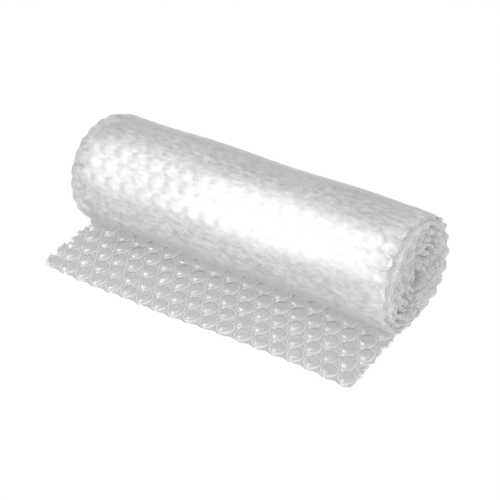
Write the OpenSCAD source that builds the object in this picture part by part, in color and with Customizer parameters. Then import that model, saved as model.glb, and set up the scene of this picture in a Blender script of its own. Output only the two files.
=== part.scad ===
// A small roll of clear air bubble film, as it lies on a table with its free end pulled out flat.
// The whole object is one sheet: a flat backing film with round air cells sealed to one side. It is
// wound with the backing film outwards. The free end leaves the underside of the roll, and there
// the cells face up. The stiff cells make the wound sheet bend between their rows, so each turn is
// a many-sided ring with a flat for each row. The sheet was slit from a wider one, and its long
// edges cut through cells. The real films measure less than 0.1 mm and are drawn thicker.
// The roll lies along X, the free end points to -Y, and Z is up. The origin is on the table, at the
// middle of the footprint.

/* [Sheet] */
// Width of the sheet, along the roll
sheet_w = 300; // [150:5:450]
// Thickness of the backing film
film_t = 0.8; // [0.6:0.1:1.2]
// Length of the free end, from below the roll's axis to its cut edge
tail_l = 91.6; // [70:0.1:160]

/* [Air cells] */
// Diameter of a cell at its base
cell_d = 14.6; // [10:0.1:15]
// Width of the sealed film between neighbouring cells, at its narrowest
cell_gap = 1.2; // [0.5:0.1:7]
// Height of a cell above the backing film
cell_h = 4.8; // [3.5:0.1:6]
// Distance from the cut edge of the free end to the centres of the first row
first_row = 7.8; // [7.5:0.1:20]
// Distance from the left edge of the sheet to the first cell's centre in that row
first_cell = 5; // [0:0.1:15]

/* [Roll] */
// Radius of the outer turn where it leaves the table
roll_r = 51; // [40:0.5:60]
// Radius of the space at the centre of the roll
hole_r = 9; // [8:0.5:25]
// Share by which the underside is pressed flat by the weight of the roll
sag = 0.2; // [0:0.01:0.25]
// Depth by which the lowest stretch is pressed level
foot_depth = 0.4; // [0.2:0.1:0.6]
// Height by which the backing film stands out over each cell of the outer turn
bulge_h = 0.4; // [0.2:0.1:0.8]
// Distance from the edge of a cell in to the edge of its bulge
bulge_in = 1.1; // [0.8:0.1:3]

/* [Hidden] */

// One turn and its cells take this much of the radius
sheet_t = film_t + cell_h;
// Distance between the centres of neighbouring cells, and of the rows in the close-packed pattern
cell_pitch = cell_d + cell_gap;
row_pitch = cell_pitch * sin(60);
cell_r = cell_d / 2;
bulge_d = cell_d - 2 * bulge_in;
// Depth to which a cell is sunk into a film that it meets
weld = film_t / 2;
// A cell that a slit has cut is kept while its centre lies within this share of its radius outside
cut_share = 0.7;
// A block that stands for a cell between two turns has this share of the cell's width
block_share = 0.85;
// Width by which such a block narrows at each shoulder
shoulder = 1.6;
full_turn = 360;
axis_z = roll_r * (1 - sag) - foot_depth;
end_angle = full_turn * (roll_r - hole_r) / sheet_t;

// Radius of the film's outer face at an angle counted from the table, up the back and on
function turn_r(a) = roll_r - sheet_t * a / full_turn;
// Angle reached by a length of sheet wound on from the table, and the length up to an angle
angle_to_centre = full_turn * roll_r / sheet_t;
function angle_at(s) = angle_to_centre * (1 - sqrt(1 - 2 * s * 180 / PI / roll_r / angle_to_centre));
function length_at(a) = (roll_r - sheet_t * a / full_turn / 2) * a * PI / 180;
// Share of the height below the axis that the sag leaves
function pressed(a) = 1 - sag * pow(max(cos(a), 0), 2);
// Point of the section at an angle and a depth below the outer face, levelled on the table
function wound(a, depth) =
    let (r = turn_r(a) - depth)
    [r * sin(a), max(axis_z - r * cos(a) * pressed(a), min(depth, film_t))];

// Rows counted from the cut edge, each with its distance along the sheet past the roll's foot
function row_at(k) = first_row + k * row_pitch - tail_l;
n_tail = ceil((tail_l - first_row) / row_pitch);
n_rows = floor((tail_l + length_at(end_angle) - first_row) / row_pitch);

// The film leaves the table here, then bends half way between its rows, and in the tighter inner
// turns at each row as well
lift_s = max([for (a = [0:0.5:60]) if (wound(a, 0)[1] <= 0) length_at(a)]);
fine_from = length_at(2 * full_turn);
bends = concat([lift_s], [for (k = [n_tail:n_rows], half = [-0.5, 0])
    let (s = row_at(k) + half * row_pitch)
    if (s > lift_s + 1 && (half < 0 || s > fine_from)) s]);
n_bends = len(bends);

// Point of the bent film between two bends
function bent(s, depth) =
    let (i = min(len([for (b = bends) if (b < s) b]), n_bends - 1),
        s1 = bends[i],
        s0 = i > 0 ? bends[i - 1] : 0,
        t = (s - s0) / (s1 - s0))
    wound(angle_at(s0), depth) * (1 - t) + wound(angle_at(s1), depth) * t;

// Underside of the roll in front of its axis, by rising Y, and where it comes down to the cells
front_angle = 270;
belly = [for (s = bends) let (a = angle_at(s))
    if (a > front_angle + 10 && a < full_turn + 40) wound(a, 0)];
nip_y = max([for (y = [-roll_r:0.5:0]) if (lookup(y, belly) > sheet_t + weld) y]);
n_free = floor((nip_y - cell_r - row_at(0)) / row_pitch) + 1;

// Places of a row's cells across the sheet, with those that the slits cut
function cells_x(k) =
    let (start = -sheet_w / 2 + first_cell + (k % 2) * cell_pitch / 2)
    [for (i = [-1:ceil(sheet_w / cell_pitch)])
        let (x = start + i * cell_pitch)
        if (abs(x) < sheet_w / 2 + cell_r * cut_share) x];

// Direction in which the bent film runs on
function heading(s) = bent(s + 1, 0) - bent(s - 1, 0);
// The footprint runs from the cut edge to the furthest bulge at the back
back_y = max([for (k = [n_tail:n_rows])
    let (s = row_at(k), d = heading(s))
    if (angle_at(s) < full_turn) bent(s, 0)[0] + bulge_h * d[1] / norm(d)]);
middle_y = (back_y - tail_l) / 2;

// Turns an outline in the section plane into a solid along the roll
module along_roll(from_x, length) {
    translate([from_x, 0, 0])
        rotate([90, 0, 90])
            linear_extrude(length)
                children();
}

// The backing film: the free end on the table and all the turns
module film() {
    outer = [for (s = bends) wound(angle_at(s), 0)];
    inner = [for (i = [n_bends - 1:-1:0]) wound(angle_at(bends[i]), film_t)];
    along_roll(-sheet_w / 2, sheet_w)
        polygon(concat([[-tail_l, 0]], outer, inner, [[-tail_l, film_t]]));
}

// A round cell: part of a ball that stands on the film, with its root sunk into it, and cut off to
// the left and right where the slits lie
module cell(left, right) {
    ball_r = (pow(cell_r, 2) + pow(cell_h, 2)) / (2 * cell_h);
    intersection() {
        translate([0, 0, cell_h - ball_r])
            sphere(r = ball_r, $fn = 60);
        translate([left, -cell_d, -weld])
            cube([right - left, 2 * cell_d, weld + 2 * cell_h]);
    }
}

// The rows of round cells on the free end
module free_cells() {
    for (k = [0:n_free - 1], x = cells_x(k))
        translate([x, row_at(k), film_t])
            cell(max(-cell_d, -sheet_w / 2 - x), min(cell_d, sheet_w / 2 - x));
}

// The round tops that the cells press into the backing film of the outer turn, clear of the table
// and of the free end's cells
module bulges() {
    clear = bulge_h + film_t;
    for (k = [n_tail:n_rows])
        let (s = row_at(k), p = bent(s, 0), d = heading(s), a = angle_at(s))
            if (a < full_turn && p[1] > clear && (a < front_angle || p[0] < nip_y - bulge_d / 2))
                for (x = cells_x(k))
                    if (abs(x) + bulge_d / 2 < sheet_w / 2)
                        translate([x, p[0], p[1]])
                            rotate([atan2(-d[1], -d[0]), 0, 0])
                                translate([0, 0, -weld])
                                    cylinder(d = bulge_d, h = weld + bulge_h, $fn = 48);
}

// Points along the top of a cell's block, narrower than its base by the shoulders
function across_top(s, half) = [for (t = [1, 0.5, 0, -0.5, -1]) s + t * (half - min(shoulder, half / 3))];

// Outline of a cell that is pressed between two turns, half as wide as given to each side
function wound_cell(s, half) =
    let (inside = length_at(angle_at(s) + full_turn) < bends[n_bends - 1],
        base = [for (t = [-1, 0, 1]) bent(s + t * half, film_t - weld)],
        top = [for (c = across_top(s, half))
            inside ? bent(length_at(angle_at(c) + full_turn), weld) : bent(c, sheet_t)])
    concat(base, top);

// Outline of a cell on the free end that the roll lies on
function table_cell(s, half) =
    concat([[s - half, film_t - weld], [s + half, film_t - weld]],
        [for (c = across_top(s, half)) [c, min(sheet_t, lookup(c, belly) + weld)]]);

// The outermost cell of each wound row at either edge of the sheet, most of them cut by the slit,
// which part the turns and show at the ends of the roll
module edge_cells() {
    for (k = [n_free:n_rows], side = [-1, 1])
        let (xs = cells_x(k),
            in = sheet_w / 2 - side * (side < 0 ? xs[0] : xs[len(xs) - 1]),
            at_slit = in < cell_r ? sqrt(pow(cell_r, 2) - pow(in, 2)) : cell_r,
            half = max(at_slit * block_share, cell_r / 2),
            near = max(0, in - cell_r * block_share),
            far = in + cell_r * block_share,
            s = row_at(k))
            if (s + half < bends[n_bends - 1])
                along_roll(side < 0 ? near - sheet_w / 2 : sheet_w / 2 - far, far - near)
                    polygon(s < lift_s ? table_cell(s, half) : wound_cell(s, half));
}

// The sheet with its cells, in one piece
module bubble_sheet() {
    color([0.86, 0.89, 0.9])
        translate([0, -middle_y, 0]) {
            film();
            free_cells();
            bulges();
            edge_cells();
        }
}

bubble_sheet();
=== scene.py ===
import math

import bmesh
import bpy
import numpy as np
from mathutils import Matrix, Vector


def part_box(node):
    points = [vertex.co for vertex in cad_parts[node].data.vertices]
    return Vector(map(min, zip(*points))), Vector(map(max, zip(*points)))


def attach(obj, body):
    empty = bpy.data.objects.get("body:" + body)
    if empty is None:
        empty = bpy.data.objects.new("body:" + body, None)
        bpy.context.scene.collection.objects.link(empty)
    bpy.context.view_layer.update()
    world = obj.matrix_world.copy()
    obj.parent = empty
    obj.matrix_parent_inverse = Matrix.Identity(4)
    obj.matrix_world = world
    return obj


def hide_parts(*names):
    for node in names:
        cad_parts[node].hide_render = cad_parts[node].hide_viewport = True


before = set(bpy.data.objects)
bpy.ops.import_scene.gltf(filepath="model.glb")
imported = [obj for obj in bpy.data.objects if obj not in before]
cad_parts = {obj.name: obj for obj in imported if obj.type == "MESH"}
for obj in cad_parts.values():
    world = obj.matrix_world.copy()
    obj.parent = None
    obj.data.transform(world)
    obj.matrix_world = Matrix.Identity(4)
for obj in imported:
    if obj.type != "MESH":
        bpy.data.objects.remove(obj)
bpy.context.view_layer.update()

# The wound sheet
# One long sheet of air bubble film: a flat backing film with round air cells heat-sealed to it.
# It is wound with the backing film outwards, and its last stretch lies open on the table, cells up.
# The real sheet is about 0.07 mm of film in all, and the sealed film is drawn three times as thick
# so that its two faces stay apart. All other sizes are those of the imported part.
SHEET_WIDTH = 0.300
TAIL_LENGTH = 0.0916
CELL_PITCH = 0.0158
ROW_PITCH = CELL_PITCH * math.sin(math.radians(60))
CELL_RADIUS = 0.0073
CELL_HEIGHT = 0.0048
SEALED_FILM = 0.00022
PACKED_FILM = 0.0008
FIRST_ROW = 0.0078
FIRST_CELL = 0.005
ROLL_RADIUS = 0.051
TURN_THICKNESS = 0.0056
SAG = 0.2
FOOT_DEPTH = 0.0004
low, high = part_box("bubble_sheet")
AXIS_Y = low.y + TAIL_LENGTH
AXIS_Z = ROLL_RADIUS * (1 - SAG) - FOOT_DEPTH
CHANCE_ROWS, CHANCE_COLUMNS, CHANCE_START = 140, 30, 4
CELL_CHANCE = np.random.RandomState(7).rand(CHANCE_ROWS, CHANCE_COLUMNS, 6)
GRID_PER_METRE = 1e7
CUT_DISTANCE = 1e-6


def turn_angle(s):
    """Angle wound on after a length s of sheet, from the table up the back: the spiral's radius
    falls by one turn's thickness each full turn, so its length is a quadratic in the angle."""
    whole = 2 * np.pi * ROLL_RADIUS / TURN_THICKNESS
    return whole * (1 - np.sqrt(np.maximum(1 - 2 * s / (ROLL_RADIUS * whole), 0)))


def turn_length(angle):
    """Length of sheet wound on up to an angle, the inverse of turn_angle."""
    return (ROLL_RADIUS - TURN_THICKNESS * angle / (4 * np.pi)) * angle


def wound(s, depth):
    """Y and Z of a point at a length s along the sheet past the roll's foot, and at a depth above
    the backing film: a spiral whose lower half is pressed towards the table by the square of the
    cosine, and which turns into the flat free end where s is negative."""
    angle = turn_angle(np.maximum(s, 0))
    r = ROLL_RADIUS - TURN_THICKNESS * angle / (2 * np.pi) - depth
    drop = 1 - SAG * np.maximum(np.cos(angle), 0) ** 2
    z = np.maximum(AXIS_Z - r * np.cos(angle) * drop, np.minimum(depth, PACKED_FILM))
    y = AXIS_Y + r * np.sin(angle)
    return np.where(s < 0, AXIS_Y + s, y), np.where(s < 0, depth, z)


def nearest_cell(u, v):
    """Centre, row, column and distance of the cell nearest to each point of the flat sheet, in the
    close-packed pattern where each second row is shifted by half a pitch."""
    best = None
    for step in (0, 1):
        row = np.floor((v - FIRST_ROW) / ROW_PITCH) + step
        start = -SHEET_WIDTH / 2 + FIRST_CELL + (row % 2) * CELL_PITCH / 2
        column = np.round((u - start) / CELL_PITCH)
        cu, cv = start + column * CELL_PITCH, FIRST_ROW + row * ROW_PITCH
        found = np.stack([cu, cv, row, column, np.hypot(u - cu, v - cv)])
        best = found if best is None else np.where(found[4] < best[4], found, best)
    return best


def cell_luck(row, column):
    """The six chance values of each cell, which are the same wherever the cell is asked for."""
    rows = (row.astype(int) + CHANCE_START) % CHANCE_ROWS
    columns = (column.astype(int) + CHANCE_START) % CHANCE_COLUMNS
    return CELL_CHANCE[rows, columns]


def flat_pattern(v_from, v_to, sectors, rings):
    """The flat sheet between two lengths as a net of cells: each cell is rings of points round its
    centre, out to the six-sided land that it shares with its neighbours, trimmed to the sheet. The
    corners of the land are among the points, for which 18 of them start half a step later."""
    angles = 2 * np.pi * (np.arange(sectors) + 0.5 * (sectors % 12 == 6)) / sectors
    side = (angles + np.pi / 6) % (np.pi / 3) - np.pi / 6
    border = CELL_PITCH / 2 / np.cos(side)
    radii = [CELL_RADIUS * q * np.ones(sectors) for q in rings] + [border]
    ring_u = np.concatenate([[0.0]] + [r * np.cos(angles) for r in radii])
    ring_v = np.concatenate([[0.0]] + [r * np.sin(angles) for r in radii])
    i = np.arange(sectors)
    j = (i + 1) % sectors
    faces = [np.stack([0 * i, 1 + i, 1 + j], 1)]
    for n in range(len(radii) - 1):
        a, b = 1 + n * sectors, 1 + (n + 1) * sectors
        faces += [np.stack([a + i, b + i, b + j], 1), np.stack([a + i, b + j, a + j], 1)]
    faces = np.concatenate(faces)
    rows = np.arange(
        math.floor((v_from - FIRST_ROW) / ROW_PITCH) - 1,
        math.ceil((v_to - FIRST_ROW) / ROW_PITCH) + 2,
    )
    columns = np.arange(-2, round(SHEET_WIDTH / CELL_PITCH) + 3)
    row, column = [g.ravel() for g in np.meshgrid(rows, columns, indexing="ij")]
    cu = -SHEET_WIDTH / 2 + FIRST_CELL + (row % 2) * CELL_PITCH / 2 + column * CELL_PITCH
    cv = FIRST_ROW + row * ROW_PITCH
    points = np.stack([cu[:, None] + ring_u, cv[:, None] + ring_v], -1).reshape(-1, 2)
    all_faces = (faces[None] + (np.arange(len(cu)) * len(ring_u))[:, None, None]).reshape(-1, 3)
    rounded = np.round(points * GRID_PER_METRE).astype(np.int64)
    first, back = np.unique(rounded, axis=0, return_index=True, return_inverse=True)[1:]
    points, all_faces = points[first], back.ravel()[all_faces]
    reach = points[all_faces]
    inside = (
        (np.abs(reach[..., 0]).min(1) < SHEET_WIDTH / 2)
        & (reach[..., 1].max(1) > v_from)
        & (reach[..., 1].min(1) < v_to)
    )
    all_faces = all_faces[inside]
    used, back = np.unique(all_faces, return_inverse=True)
    mesh = bpy.data.meshes.new("pattern")
    flat = np.column_stack([points[used], np.zeros(len(used))])
    mesh.from_pydata(flat.tolist(), [], back.reshape(-1, 3).tolist())
    net = bmesh.new()
    net.from_mesh(mesh)
    bpy.data.meshes.remove(mesh)
    cuts = (
        ((SHEET_WIDTH / 2, 0, 0), (1, 0, 0)),
        ((-SHEET_WIDTH / 2, 0, 0), (-1, 0, 0)),
        ((0, v_from, 0), (0, -1, 0)),
        ((0, v_to, 0), (0, 1, 0)),
    )
    for place, normal in cuts:
        every = net.verts[:] + net.edges[:] + net.faces[:]
        bmesh.ops.bisect_plane(
            net,
            geom=every,
            dist=CUT_DISTANCE,
            plane_co=place,
            plane_no=normal,
            clear_outer=True,
        )
    bmesh.ops.triangulate(net, faces=net.faces[:])
    net.verts.index_update()
    uv = np.array([(p.co.x, p.co.y) for p in net.verts])
    tris = np.array([[p.index for p in f.verts] for f in net.faces])
    net.free()
    a, b, c = uv[tris[:, 0]], uv[tris[:, 1]], uv[tris[:, 2]]
    turn = (b - a)[:, 0] * (c - a)[:, 1] - (b - a)[:, 1] * (c - a)[:, 0]
    tris[turn < 0] = tris[turn < 0][:, ::-1]
    return uv, tris


SOFTEST, LEAK, LEAKS_FROM = 0.16, 0.35, 0.94
LEAN_PER_METRE = 40.0
DENT_LEAST, DENT_RANGE, DENT_RADIUS = 0.06, 0.24, 0.0036
CUT_LEAST, CUT_RANGE = 0.45, 0.25


def cell_rise(u, v, crush):
    """Height of the cell film above the backing: a steep round wall, a rounded shoulder and a
    nearly flat top, the fifth power of the distance taken from one, then its square root. Each
    cell has its own fullness, lean and dent, and those that a slit has cut are let down."""
    cu, cv, row, column, far = nearest_cell(u, v)
    luck = cell_luck(row, column)
    q = np.clip(far / CELL_RADIUS, 0, 1)
    full = 1 - SOFTEST * luck[:, 0] - LEAK * (luck[:, 1] > LEAKS_FROM)
    top = np.sqrt(1 - q**5)
    tilt = (u - cu) * (luck[:, 2] - 0.5) + (v - cv) * (luck[:, 3] - 0.5)
    lean = 1 + LEAN_PER_METRE * tilt
    dent = 1 - (DENT_LEAST + DENT_RANGE * luck[:, 4]) * np.exp(-((far / DENT_RADIUS) ** 2))
    cut = np.minimum(SHEET_WIDTH / 2 - np.abs(cu), cv)
    slack = np.where(cut < CELL_RADIUS, CUT_LEAST + CUT_RANGE * luck[:, 5], 1.0)
    slack = np.where(cv < 0, 0.0, slack)
    return CELL_HEIGHT * full * top * lean * dent * slack * crush


EDGE_WIDTH = 0.0012


def closed_sheet(name, v_from, v_to, sectors, rings, place):
    """A closed skin: the cell film on one side, the backing on the other, and the cut edge between
    them. place turns a point of the flat sheet, with its side, into a point in space. The faces
    along the slit edges take the second material."""
    uv, tris = flat_pattern(v_from, v_to, sectors, rings)
    n = len(uv)
    edges = np.concatenate([tris[:, [0, 1]], tris[:, [1, 2]], tris[:, [2, 0]]])
    code = edges[:, 0] * n + edges[:, 1]
    rim = edges[~np.isin(code, edges[:, 1] * n + edges[:, 0])]
    i, j = rim[:, 0], rim[:, 1]
    wall = np.concatenate([np.stack([j, i, i + n], 1), np.stack([j, i + n, j + n], 1)])
    faces = np.concatenate([tris, tris[:, ::-1] + n, wall])
    points = np.concatenate([place(uv[:, 0], uv[:, 1], True), place(uv[:, 0], uv[:, 1], False)])
    mesh = bpy.data.meshes.new(name)
    mesh.vertices.add(len(points))
    mesh.vertices.foreach_set("co", points.ravel())
    mesh.loops.add(faces.size)
    mesh.loops.foreach_set("vertex_index", faces.ravel())
    mesh.polygons.add(len(faces))
    mesh.polygons.foreach_set("loop_start", np.arange(0, faces.size, 3))
    mesh.polygons.foreach_set("use_smooth", np.ones(len(faces), bool))
    across = np.abs(np.concatenate([uv, uv])[faces, 0]).min(1)
    mesh.polygons.foreach_set("material_index", (across > SHEET_WIDTH / 2 - EDGE_WIDTH).astype(int))
    mesh.update(calc_edges=True)
    mesh.validate()
    piece = bpy.data.objects.new(name, mesh)
    bpy.context.scene.collection.objects.link(piece)
    return piece


BUMP_SHARE, BUMP_HEIGHT = 0.7, 0.0006
# Noise levels between which the painted shade in the creases goes from darkest to lightest.
CREASE_SHADE_LOW, CREASE_SHADE_HIGH = 0.3, 0.7
# Painted shade at the left end of the roll, where the highlight fades out: the haze darkens between
# these X values.
LEFT_SHADE_FROM, LEFT_SHADE_TO = -0.152, -0.112
RIM_FROM, RIM_TO = 0.4, 0.75
WALL_FROM, WALL_TO = 0.75, 0.05
WOUND_COVER, WOUND_SHINE = 0.6, 0.45
FLAT_COVER, FLAT_SHINE = 0.4, 0.1
MIRROR_POWER = 5.0


def film_material(
    name, clearness, cover, tone, rim, grain, roughness, shine, flat=False, left_shade=1.0, crease_shade=0.2
):
    """Clear film. cover is the share of the light that doesn't pass straight on. It meets a pale
    haze with painted shade in the fine creases, and a rim of its own tone where the film is seen
    edge on, whiter on most films and darker on the outer turn, where it is painted dark reflection
    along the roll's outline. Film that is flat on the table is whiter on the walls of its cells
    too.
    The haze also takes painted shade at the left end of the roll, where the highlight fades out.
    The gloss grows by the fifth power towards grazing angles, alike on both sides."""
    material = bpy.data.materials.new(name)
    material.use_nodes = True
    tree = material.node_tree
    tree.nodes.clear()
    link = tree.links.new

    def node(kind, **values):
        made = tree.nodes.new(kind)
        for key, value in values.items():
            made.inputs[key].default_value = value
        return made

    def feed(value, socket):
        if isinstance(value, float):
            socket.default_value = value
        else:
            link(value, socket)

    def ramp(value, start, stop, low, high):
        limits = {"From Min": start, "From Max": stop, "To Min": low, "To Max": high}
        made = node("ShaderNodeMapRange", **limits)
        link(value, made.inputs["Value"])
        return made.outputs["Result"]

    def combined(operation, first, second):
        made = tree.nodes.new("ShaderNodeMath")
        made.operation = operation
        feed(first, made.inputs[0])
        feed(second, made.inputs[1])
        return made.outputs[0]

    def mixed(share, below, above):
        made = tree.nodes.new("ShaderNodeMixShader")
        feed(share, made.inputs["Fac"])
        link(below.outputs[0], made.inputs[1])
        link(above.outputs[0], made.inputs[2])
        return made

    where = node("ShaderNodeTexCoord").outputs["Object"]
    size = node("ShaderNodeMapping", Scale=grain)
    noise = node("ShaderNodeTexNoise", Scale=1.0, Detail=3.0, Roughness=0.6)
    bump = node("ShaderNodeBump", Strength=BUMP_SHARE, Distance=BUMP_HEIGHT)
    link(where, size.inputs["Vector"])
    link(size.outputs["Vector"], noise.inputs["Vector"])
    link(noise.outputs["Fac"], bump.inputs["Height"])
    turned_away = node("ShaderNodeLayerWeight", Blend=0.5)
    link(bump.outputs["Normal"], turned_away.inputs["Normal"])
    facing = turned_away.outputs["Facing"]

    along = node("ShaderNodeSeparateXYZ")
    link(where, along.inputs["Vector"])
    # Painted shade in the fine creases: the haze is darker where the noise of the bump is low.
    darkest, lightest = tone * (1 - crease_shade), tone * (1 + crease_shade / 2)
    painted_crease_shade = ramp(noise.outputs["Fac"], CREASE_SHADE_LOW, CREASE_SHADE_HIGH, darkest, lightest)
    # Painted shade: the haze darkens towards the left end of the roll, where the highlight fades
    # out.
    painted_left_shade = ramp(along.outputs["X"], LEFT_SHADE_FROM, LEFT_SHADE_TO, left_shade, 1.0)
    shade = combined("MULTIPLY", painted_crease_shade, painted_left_shade)
    haze = node("ShaderNodeBsdfDiffuse")
    through = node("ShaderNodeBsdfTranslucent")
    link(shade, haze.inputs["Color"])
    link(shade, through.inputs["Color"])
    # The rim's own tone where the film is seen edge on: whiter than the haze on most films; on the
    # outer turn darker, painted dark reflection along the roll's outline.
    rim_colour = (rim, rim, rim, 1)
    white = node("ShaderNodeBsdfDiffuse", Color=rim_colour)
    lit_behind = node("ShaderNodeBsdfTranslucent", Color=rim_colour)

    rim_share = ramp(facing, RIM_FROM, RIM_TO, 0.0, 1.0)
    cover_by, most_cover, most_shine = facing, cover + WOUND_COVER, WOUND_SHINE
    if flat:
        normal = node("ShaderNodeSeparateXYZ")
        link(node("ShaderNodeNewGeometry").outputs["Normal"], normal.inputs["Vector"])
        level = combined("ABSOLUTE", normal.outputs["Z"], 0.0)
        rim_share = combined("MAXIMUM", ramp(level, WALL_FROM, WALL_TO, 0.0, 1.0), rim_share)
        cover_by, most_cover, most_shine = rim_share, cover + FLAT_COVER, FLAT_SHINE
    milky = mixed(rim_share, mixed(0.5, haze, through), mixed(0.5, white, lit_behind))
    clear = node("ShaderNodeBsdfTransparent", Color=(clearness, clearness, clearness, 1))
    film = mixed(ramp(cover_by, 0.0, 1.0, cover, most_cover), clear, milky)
    gloss = node("ShaderNodeBsdfGlossy", Roughness=roughness, Color=(1, 1, 1, 1))
    link(bump.outputs["Normal"], gloss.inputs["Normal"])
    mirror = ramp(combined("POWER", facing, MIRROR_POWER), 0.0, 1.0, shine, most_shine)
    out = node("ShaderNodeOutputMaterial")
    link(mixed(mirror, film, gloss).outputs[0], out.inputs["Surface"])
    return material


def dress(piece, material, edge):
    """Gives a stretch of the sheet and its slit edges their finish, and lets it stand for the
    packed sheet."""
    piece.data.materials.append(material)
    piece.data.materials.append(edge)
    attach(piece, "root")
    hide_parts("bubble_sheet")


# The camera
# It stands where the photograph was taken from, to the right of the roll's front and well above
# it, far enough away for a nearly parallel view, and it leans a little to one side.
CAMERA_AZIMUTH = math.radians(41.1)
CAMERA_ELEVATION = math.radians(40.0)
CAMERA_LEAN = math.radians(-9.2)
CAMERA_DISTANCE = 1.239
FOCAL_LENGTH_MM, SENSOR_MM = 114.3, 36
LOOK_AT = Vector((0.0135, AXIS_Y - 0.0224, 0.030))
back = Vector(
    (
        math.sin(CAMERA_AZIMUTH) * math.cos(CAMERA_ELEVATION),
        -math.cos(CAMERA_AZIMUTH) * math.cos(CAMERA_ELEVATION),
        math.sin(CAMERA_ELEVATION),
    )
)
level = (-back).cross(Vector((0, 0, 1))).normalized()
upright = level.cross(-back)
right = level * math.cos(CAMERA_LEAN) + upright * math.sin(CAMERA_LEAN)
up = upright * math.cos(CAMERA_LEAN) - level * math.sin(CAMERA_LEAN)
lens = bpy.data.cameras.new("camera")
lens.lens = FOCAL_LENGTH_MM
lens.sensor_width = SENSOR_MM
camera = bpy.data.objects.new("camera", lens)
bpy.context.scene.collection.objects.link(camera)
pose = Matrix((right, up, back)).transposed().to_4x4()
pose.translation = LOOK_AT + back * CAMERA_DISTANCE
camera.matrix_world = pose
bpy.context.scene.camera = camera

# The free end
# The stretch that has been pulled out flat, with its cells up. It waves a little on the table, and
# its cells go under the roll at the back, where the roll's belly presses them down.
EVEN_GRAIN = (300, 300, 300)
free_film = film_material(
    "free film",
    clearness=0.965,
    cover=0.35,
    tone=0.2,
    rim=0.98,
    grain=EVEN_GRAIN,
    roughness=0.34,
    shine=0.055,
    flat=True,
)
loose_edge = film_material(
    "loose edge",
    clearness=0.96,
    cover=0.45,
    tone=0.85,
    rim=0.95,
    grain=EVEN_GRAIN,
    roughness=0.3,
    shine=0.08,
)
BELLY_FROM, BELLY_TO, BELLY_POINTS = math.radians(281), math.radians(399), 60
WAVE_HEIGHT, WAVE_REACH = 0.0006, 0.07
PUSH, PUSH_PLACE, PUSH_WIDTH, PUSH_REACH = 0.0035, 0.075, 0.05, 0.05
SCALLOP = 0.0016
CURL_WIDTH, CURL_REACH, CURL_PULL = 0.009, 0.03, 0.008
CURL_HEIGHT, CURL_WAVE, CURL_RIPPLE = 0.0022, 0.0012, 0.0008
CLEARANCE = 0.0001


def belly_height(y):
    """Height of the underside of the outer turn above the table, in front of the roll's axis."""
    angles = np.linspace(BELLY_FROM, BELLY_TO, BELLY_POINTS)
    by, bz = wound(turn_length(angles), np.zeros(BELLY_POINTS))
    return np.interp(y, by, bz)


def free_end(u, v, cell_side):
    """The flat sheet laid on the table, lifted by two slow waves that die out under the roll. Its
    cut edge is pushed back on the right by a bell curve and drawn in between the cells by a cosine,
    and its slit edges curl up by the square of the distance, unevenly by two sines."""
    s = v - TAIL_LENGTH
    rise = cell_rise(u, v, 1.0) + SEALED_FILM if cell_side else np.zeros(len(u))
    loose = np.clip(-s / WAVE_REACH, 0, 1) ** 2
    wave = WAVE_HEIGHT * (2 + np.sin(u * 38 + 1) + np.sin(u * 71 + v * 30))
    pushed = np.exp(-(((u - PUSH_PLACE) / PUSH_WIDTH) ** 2)) * np.clip(1 - v / PUSH_REACH, 0, 1)
    between = 0.5 - 0.5 * np.cos(2 * np.pi * (u + SHEET_WIDTH / 2 - FIRST_CELL) / CELL_PITCH)
    y = AXIS_Y + s + PUSH * pushed + SCALLOP * between * np.clip(1 - v / FIRST_ROW, 0, 1)
    near_slit = np.clip((np.abs(u) - SHEET_WIDTH / 2 + CURL_WIDTH) / CURL_WIDTH, 0, 1)
    curl = near_slit**2 * np.clip(-s / CURL_REACH, 0, 1)
    uneven = CURL_WAVE * np.sin(v * 330) + CURL_RIPPLE * np.sin(v * 710 + 1)
    lifted = rise + wave * loose + curl * (CURL_HEIGHT + uneven)
    z = np.minimum(lifted, belly_height(y) - CLEARANCE * cell_side)
    return np.stack([u * (1 - CURL_PULL * curl), y, np.maximum(z, 0)], 1)


FREE_SECTORS, FREE_RINGS = 24, (0.4, 0.66, 0.82, 0.92, 0.98, 1.0)
flap = closed_sheet("free_end", 0.0, TAIL_LENGTH, FREE_SECTORS, FREE_RINGS, free_end)
dress(flap, free_film, loose_edge)

# The outer turn
# The first full turn, up the back of the roll, over the top and down the front to the table. Its
# smooth backing film bulges outwards a little over each cell, is drawn in at both ends of the roll,
# and is covered with fine creases that run along it.
SLIDE, SLIDE_FROM, SLIDE_TURNS, SLIDE_WAVE = 0.0042, 0.3, 1.5, 0.0006
BULGE, BULGE_LEAST, BULGE_RANGE, BULGE_BETWEEN = 0.00018, 0.6, 0.8, -0.4
END_BULGE, END_BULGE_RISE, END_WIDTH = 0.00035, 0.001, 0.026
ROW_WAVE = 0.0006
LUMP = 0.0007
DRAWN_IN, DRAWN_IN_FALL, DRAWN_WIDTH = 0.0024, 0.008, 0.016
FRILL, FRILL_SLOW = 0.0009, 0.5
STARTS_OVER, LUMPS_START_OVER = 0.02, 0.03
PRESSED_CELL = 0.98


def skew(s):
    """How far the turns have slid along the roll, as they do when a sheet is wound by hand: evenly
    over one and a half turns and no further in, with a small sine wave."""
    turn = turn_angle(np.maximum(s, 0)) / (2 * np.pi)
    late = np.clip(turn - SLIDE_FROM, 0, SLIDE_TURNS) / SLIDE_TURNS
    return (SLIDE + SLIDE_WAVE * np.sin(turn * 9)) * late


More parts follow.
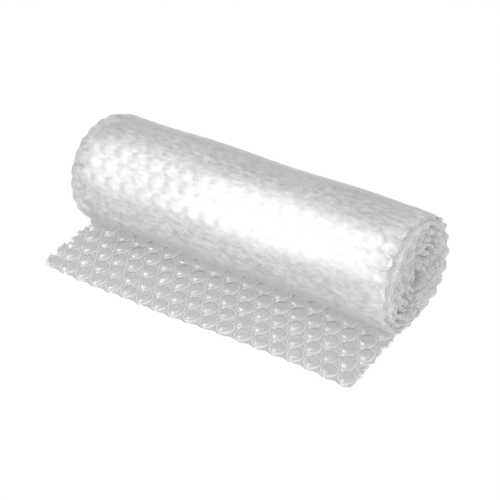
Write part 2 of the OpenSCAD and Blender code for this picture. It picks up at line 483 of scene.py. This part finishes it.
def turned(u, v, cell_side):
    """A point of the sheet on the spiral: the backing film bulges outwards over each cell, less by
    the square of the distance from its centre, and the cells stand inwards up to the next turn.
    Slow sines make the turns uneven. Towards the ends of the roll the bulges grow evenly. The wave
    of the rows, the frill of the right edge and the drawing in of both edges grow by the square of
    the distance."""
    s = v - TAIL_LENGTH
    row, column, far = nearest_cell(u, v)[2:]
    luck = cell_luck(row, column)[:, 5]
    loose = np.clip(s / STARTS_OVER, 0, 1)
    past_slit = np.abs(u) - SHEET_WIDTH / 2
    at_end = loose * np.clip((past_slit + END_WIDTH) / END_WIDTH, 0, 1)
    row_wave = np.cos(2 * np.pi * (v - FIRST_ROW) / ROW_PITCH)
    bulge = BULGE * loose + (END_BULGE + END_BULGE_RISE * u) * at_end
    bulge = bulge * (BULGE_LEAST + BULGE_RANGE * luck)
    bulge = bulge * np.clip(1 - (far / (CELL_PITCH / 2)) ** 2, BULGE_BETWEEN, 1)
    bulge = bulge + ROW_WAVE * at_end**2 * row_wave
    lump = LUMP * np.sin(u * 47 + s * 31) * np.sin(s * 53 + 1) * np.clip(s / LUMPS_START_OVER, 0, 1)
    depth = cell_rise(u, v, PRESSED_CELL) + SEALED_FILM if cell_side else -bulge
    at_edge = loose * np.clip((past_slit + DRAWN_WIDTH) / DRAWN_WIDTH, 0, 1) ** 2
    y, z = wound(s, depth - lump + at_edge * (DRAWN_IN - DRAWN_IN_FALL * u))
    frill = FRILL * at_end**2 * (u > 0) * (row_wave + FRILL_SLOW * np.sin(v * 170))
    return np.stack([u + skew(s) + frill, y, np.maximum(z, 0)], 1)


OUTER_SECTORS, OUTER_RINGS = 18, (0.5, 0.78, 0.92, 1.0)
ONE_TURN = float(turn_length(2 * np.pi))
outer_film = film_material(
    "outer film",
    clearness=0.965,
    cover=0.3,
    tone=0.85,
    # A rim darker than the haze: painted dark reflection where the roll's outline is seen edge on.
    rim=0.68,
    grain=(150, 330, 330),
    roughness=0.4,
    shine=0.062,
    # Painted shade at the left end of the roll, where the highlight fades out.
    left_shade=0.6,
    # The creases of the outer turn carry deeper painted shade.
    crease_shade=0.38,
)
slit_edge = film_material(
    "slit edge",
    clearness=0.95,
    cover=0.6,
    tone=0.66,
    rim=0.66,
    grain=EVEN_GRAIN,
    roughness=0.35,
    shine=0.05,
)
outer = closed_sheet(
    "outer_turn",
    TAIL_LENGTH,
    TAIL_LENGTH + ONE_TURN,
    OUTER_SECTORS,
    OUTER_RINGS,
    turned,
)
dress(outer, outer_film, slit_edge)

# The inner turns
# The rest of the sheet, wound to a small open centre. Only the ends and what shows through the
# outer turn are seen, and with each turn the film looks whiter.
inner_film = film_material(
    "inner film",
    clearness=0.97,
    cover=0.22,
    tone=0.9,
    rim=0.95,
    grain=EVEN_GRAIN,
    roughness=0.35,
    shine=0.05,
)
CENTRE_RADIUS = 0.009
END = float(turn_length(2 * np.pi * (ROLL_RADIUS - CENTRE_RADIUS) / TURN_THICKNESS))
INNER_SECTORS, INNER_RINGS = 12, (0.6, 0.88, 1.0)
middle = (ONE_TURN + END) / 2
for number, (start, stop) in enumerate(((ONE_TURN, middle), (middle, END))):
    inner = closed_sheet(
        f"inner_turns_{number + 1}",
        TAIL_LENGTH + start,
        TAIL_LENGTH + stop,
        INNER_SECTORS,
        INNER_RINGS,
        turned,
    )
    dress(inner, inner_film, slit_edge)

# The table
# The photograph's ground is pure white without a shadow, so the table is a plain white surface that
# gives off its light evenly, a hair below the film, and doesn't shade it.
table = bpy.data.meshes.new("table")
SIDE = 3.0
TABLE_Z = -0.0004
TABLE_GLOW = 1.01
corners = [(-SIDE, -SIDE), (SIDE, -SIDE), (SIDE, SIDE), (-SIDE, SIDE)]
table.from_pydata([(x, y, TABLE_Z) for x, y in corners], [], [(0, 1, 2, 3)])
floor = bpy.data.objects.new("table", table)
bpy.context.scene.collection.objects.link(floor)
white = bpy.data.materials.new("white table")
white.use_nodes = True
white.node_tree.nodes.clear()
glow = white.node_tree.nodes.new("ShaderNodeEmission")
glow.inputs["Strength"].default_value = TABLE_GLOW
surface = white.node_tree.nodes.new("ShaderNodeOutputMaterial")
white.node_tree.links.new(glow.outputs[0], surface.inputs["Surface"])
table.materials.append(white)
floor.visible_shadow = False

# The lights
# Two tall soft boxes in front on the left, one above the other, whose mirror image is the long
# highlight on the roll. Three large soft lights light the haze of the film and aren't mirrored, and
# the room is lighter above than at the sides. Light may pass many layers of film.
FILM_LAYERS = 32


def soft_light(name, place, target, width, height, power):
    """A rectangular soft light of so many watts that faces its target."""
    data = bpy.data.lights.new(name, "AREA")
    data.shape = "RECTANGLE"
    data.size, data.size_y = width, height
    data.energy = power
    lamp = bpy.data.objects.new(name, data)
    bpy.context.scene.collection.objects.link(lamp)
    lamp.location = place
    lamp.rotation_euler = (Vector(target) - Vector(place)).to_track_quat("-Z", "Y").to_euler()
    lamp.visible_camera = False
    return lamp


BOX_X, BOX_WIDTH = -0.366, 0.3
for name, place, target, height, power in (
    ("upper box", (BOX_X, -0.184, 0.859), (BOX_X, 0.038, 0.089), 0.76, 10.8),
    ("lower box", (BOX_X, -0.706, 0.46), (BOX_X, -0.01, 0.075), 0.68, 10.2),
):
    soft_light(name, place, target, BOX_WIDTH, height, power).visible_diffuse = False
for name, place, target, width, height, power in (
    ("front light", (-0.1, -1.2, 0.3), (0, 0, 0.03), 1.4, 0.5, 5.5),
    ("side light", (1.1, -0.5, 0.5), (0.15, 0.02, 0.05), 0.8, 0.8, 7),
    ("top light", (0.1, -0.3, 1.3), (0.1, -0.3, 0), 1.0, 0.6, 4),
):
    soft_light(name, place, target, width, height, power).visible_glossy = False
world = bpy.data.worlds.new("room")
bpy.context.scene.world = world
world.use_nodes = True
room = world.node_tree
direction = room.nodes.new("ShaderNodeTexCoord")
parts = room.nodes.new("ShaderNodeSeparateXYZ")
by_height = room.nodes.new("ShaderNodeMapRange")
ROOM_LIGHT = {"From Min": -0.1, "From Max": 0.9, "To Min": 0.65, "To Max": 0.88}
ROOM_COLOUR = (1.0, 1.0, 0.995, 1)
for key, value in ROOM_LIGHT.items():
    by_height.inputs[key].default_value = value
room.links.new(direction.outputs["Generated"], parts.inputs["Vector"])
room.links.new(parts.outputs["Z"], by_height.inputs["Value"])
room.links.new(by_height.outputs["Result"], room.nodes["Background"].inputs["Strength"])
room.nodes["Background"].inputs["Color"].default_value = ROOM_COLOUR
bpy.context.scene.view_settings.view_transform = "Standard"
bpy.context.scene.cycles.transparent_max_bounces = FILM_LAYERS
